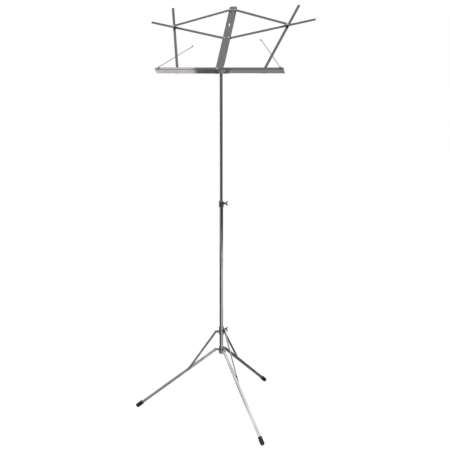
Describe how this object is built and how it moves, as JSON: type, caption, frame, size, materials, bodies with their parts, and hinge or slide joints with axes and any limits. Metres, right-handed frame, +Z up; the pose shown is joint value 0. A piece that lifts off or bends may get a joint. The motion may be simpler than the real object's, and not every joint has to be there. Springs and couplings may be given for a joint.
{
  "type": "folding sheet music stand",
  "caption": "Folding sheet music stand with a tripod base, telescopic tube, tilting bar desk, ledge and wire page holders.",
  "frame": {"origin": "on the floor under the axis of the upright tubes, with the legs open", "axes": "+Z up along the tubes; the desk faces -Y, towards the player; +X is across the desk, to the player's right"},
  "size_m": [0.6113, 0.5326, 1.458],
  "materials": {
    "tube_plating": "bright nickel plating on drawn tube",
    "leg_plating": "nickel plating on folded sheet channel, slightly dull",
    "collar_plating": "nickel plating on turned and pressed collars",
    "desk_plating": "satin nickel on pressed sheet",
    "bar_plating": "darker nickel on the arms and side bars",
    "ledge_plating": "bright nickel on pressed sheet",
    "rivet_plating": "bright nickel rivets",
    "screw_steel": "dark plated steel, worn on the wings",
    "wire_steel": "thin bright spring wire",
    "boot_rubber": "black moulded rubber, matte",
    "bush_plastic": "black nylon"
  },
  "bodies": {
    "base": {"lower_tube": "tube_plating", "hub": "collar_plating", "hub_plug": "bush_plastic", "leg_pins": "rivet_plating", "clutch": "collar_plating"},
    "leg_collar": {"collar": "collar_plating", "brace_pins": "rivet_plating"},
    "rear_leg": {"leg_rear": "leg_plating", "boot_rear": "boot_rubber"},
    "rear_brace": {"brace_rear": "leg_plating"},
    "left_leg": {"leg_left": "leg_plating", "boot_left": "boot_rubber"},
    "left_brace": {"brace_left": "leg_plating"},
    "front_leg": {"leg_front": "leg_plating", "boot_front": "boot_rubber"},
    "front_brace": {"brace_front": "leg_plating"},
    "collar_wing_screw": {"collar_screw": "screw_steel"},
    "clutch_wing_screw": {"clutch_screw": "screw_steel"},
    "guide_sleeve": {"sleeve": "bush_plastic"},
    "column": {"upper_tube": "tube_plating", "tilt_head": "collar_plating"},
    "desk": {"spine": "desk_plating", "tilt_bracket": "collar_plating", "bracket_rivets": "rivet_plating", "tilt_bolt": "screw_steel", "spine_rivets": "rivet_plating"},
    "wing_nut": {"tilt_nut": "screw_steel"},
    "left_upper_arm": {"upper_arm_left": "bar_plating"},
    "left_ledge": {"ledge_left": "ledge_plating", "ledge_lugs_left": "ledge_plating", "foot_rivet_left": "rivet_plating", "wire_post_left": "rivet_plating"},
    "left_lower_arm": {"lower_arm_left": "bar_plating", "stud_left": "rivet_plating"},
    "left_side_bar": {"side_bar_left": "bar_plating"},
    "left_page_wire": {"wire_left": "wire_steel"},
    "right_upper_arm": {"upper_arm_right": "bar_plating"},
    "right_ledge": {"ledge_right": "ledge_plating", "ledge_lugs_right": "ledge_plating", "foot_rivet_right": "rivet_plating", "wire_post_right": "rivet_plating"},
    "right_lower_arm": {"lower_arm_right": "bar_plating", "stud_right": "rivet_plating"},
    "right_side_bar": {"side_bar_right": "bar_plating"},
    "right_page_wire": {"wire_right": "wire_steel"}
  },
  "joints": [
    {"name": "collar_slide", "type": "slide", "parent": "base", "child": "leg_collar", "axis": [0, 0, 1], "range_m": [0, 0.2382]},
    {"name": "rear_leg_fold", "type": "hinge", "parent": "base", "child": "rear_leg", "pos_m": [0.00543, 0.02028, 0.23], "axis": [0.9659, -0.2588, 0], "range_deg": [0, 124.7]},
    {"name": "rear_brace_fold", "type": "hinge", "parent": "leg_collar", "child": "rear_brace", "pos_m": [0.00492, 0.01835, 0.3], "axis": [-0.9659, 0.2588, 0], "range_deg": [0, 32.2]},
    {"name": "left_leg_fold", "type": "hinge", "parent": "base", "child": "left_leg", "pos_m": [-0.02028, -0.00543, 0.23], "axis": [-0.2588, 0.9659, 0], "range_deg": [0, 124.7]},
    {"name": "left_brace_fold", "type": "hinge", "parent": "leg_collar", "child": "left_brace", "pos_m": [-0.01835, -0.00492, 0.3], "axis": [0.2588, -0.9659, 0], "range_deg": [0, 32.2]},
    {"name": "front_leg_fold", "type": "hinge", "parent": "base", "child": "front_leg", "pos_m": [0.01485, -0.01485, 0.23], "axis": [-0.7071, -0.7071, 0], "range_deg": [0, 124.7]},
    {"name": "front_brace_fold", "type": "hinge", "parent": "leg_collar", "child": "front_brace", "pos_m": [0.01344, -0.01344, 0.3], "axis": [0.7071, 0.7071, 0], "range_deg": [0, 32.2]},
    {"name": "collar_screw_turn", "type": "hinge", "parent": "leg_collar", "child": "collar_wing_screw", "pos_m": [0.00884, 0.00237, 0.3075], "axis": [0.9659, 0.2588, 0], "continuous": true},
    {"name": "clutch_screw_turn", "type": "hinge", "parent": "base", "child": "clutch_wing_screw", "pos_m": [0.00826, 0.00221, 0.7692], "axis": [0.9659, 0.2588, 0], "continuous": true},
    {"name": "height_slide", "type": "slide", "parent": "base", "child": "guide_sleeve", "axis": [0, 0, 1], "range_m": [-0.42, 0.04]},
    {"name": "desk_swivel", "type": "hinge", "parent": "guide_sleeve", "child": "column", "pos_m": [0, 0, 0.689], "axis": [0, 0, 1], "continuous": true},
    {"name": "desk_tilt", "type": "hinge", "parent": "column", "child": "desk", "pos_m": [0, 0, 1.229], "axis": [1, 0, 0], "range_deg": [-48, 35]},
    {"name": "wing_nut_turn", "type": "hinge", "parent": "desk", "child": "wing_nut", "pos_m": [0.0075, 0, 1.229], "axis": [1, 0, 0], "continuous": true},
    {"name": "left_upper_arm_fold", "type": "hinge", "parent": "desk", "child": "left_upper_arm", "pos_m": [-0.008, 0.12448, 1.44371], "axis": [0, 0.8121, -0.5835], "range_deg": [-71.7, 0]},
    {"name": "left_ledge_fold", "type": "hinge", "parent": "desk", "child": "left_ledge", "pos_m": [-0.009, -0.01107, 1.23449], "axis": [0, 0.8121, -0.5835], "range_deg": [0, 90]},
    {"name": "left_lower_arm_fold", "type": "hinge", "parent": "desk", "child": "left_lower_arm", "pos_m": [-0.008, 0.06105, 1.34275], "axis": [0, 0.8121, -0.5835], "range_deg": [0, 76]},
    {"name": "left_side_bar_fold", "type": "hinge", "parent": "left_ledge", "child": "left_side_bar", "pos_m": [-0.157, -0.01246, 1.23549], "axis": [0, 0.8121, -0.5835], "range_deg": [-74.2, 0]},
    {"name": "left_page_wire_turn", "type": "hinge", "parent": "left_ledge", "child": "left_page_wire", "pos_m": [-0.219, -0.03776, 1.24259], "axis": [0, 0.8121, -0.5835], "range_deg": [-88, 36]},
    {"name": "right_upper_arm_fold", "type": "hinge", "parent": "desk", "child": "right_upper_arm", "pos_m": [0.008, 0.12448, 1.44371], "axis": [0, -0.8121, 0.5835], "range_deg": [-71.7, 0]},
    {"name": "right_ledge_fold", "type": "hinge", "parent": "desk", "child": "right_ledge", "pos_m": [0.009, -0.01107, 1.23449], "axis": [0, -0.8121, 0.5835], "range_deg": [0, 90]},
    {"name": "right_lower_arm_fold", "type": "hinge", "parent": "desk", "child": "right_lower_arm", "pos_m": [0.008, 0.06105, 1.34275], "axis": [0, -0.8121, 0.5835], "range_deg": [0, 76]},
    {"name": "right_side_bar_fold", "type": "hinge", "parent": "right_ledge", "child": "right_side_bar", "pos_m": [0.157, -0.01246, 1.23549], "axis": [0, -0.8121, 0.5835], "range_deg": [-74.2, 0]},
    {"name": "right_page_wire_turn", "type": "hinge", "parent": "right_ledge", "child": "right_page_wire", "pos_m": [0.219, -0.04053, 1.24458], "axis": [0, -0.8121, 0.5835], "range_deg": [-74, 50]}
  ],
  "couplings": [
    {"joint": "rear_leg_fold", "follows": "collar_slide", "rad_per_m": 9.1003},
    {"joint": "rear_brace_fold", "follows": "collar_slide", "rad_per_m": 2.326},
    {"joint": "left_leg_fold", "follows": "collar_slide", "rad_per_m": 9.1003},
    {"joint": "left_brace_fold", "follows": "collar_slide", "rad_per_m": 2.326},
    {"joint": "front_leg_fold", "follows": "collar_slide", "rad_per_m": 9.1003},
    {"joint": "front_brace_fold", "follows": "collar_slide", "rad_per_m": 2.326},
    {"joint": "left_lower_arm_fold", "follows": "left_ledge_fold", "ratio": 0.8396},
    {"joint": "left_side_bar_fold", "follows": "left_ledge_fold", "ratio": -0.8196},
    {"joint": "right_lower_arm_fold", "follows": "right_ledge_fold", "ratio": 0.8396},
    {"joint": "right_side_bar_fold", "follows": "right_ledge_fold", "ratio": -0.8196}
  ]
}
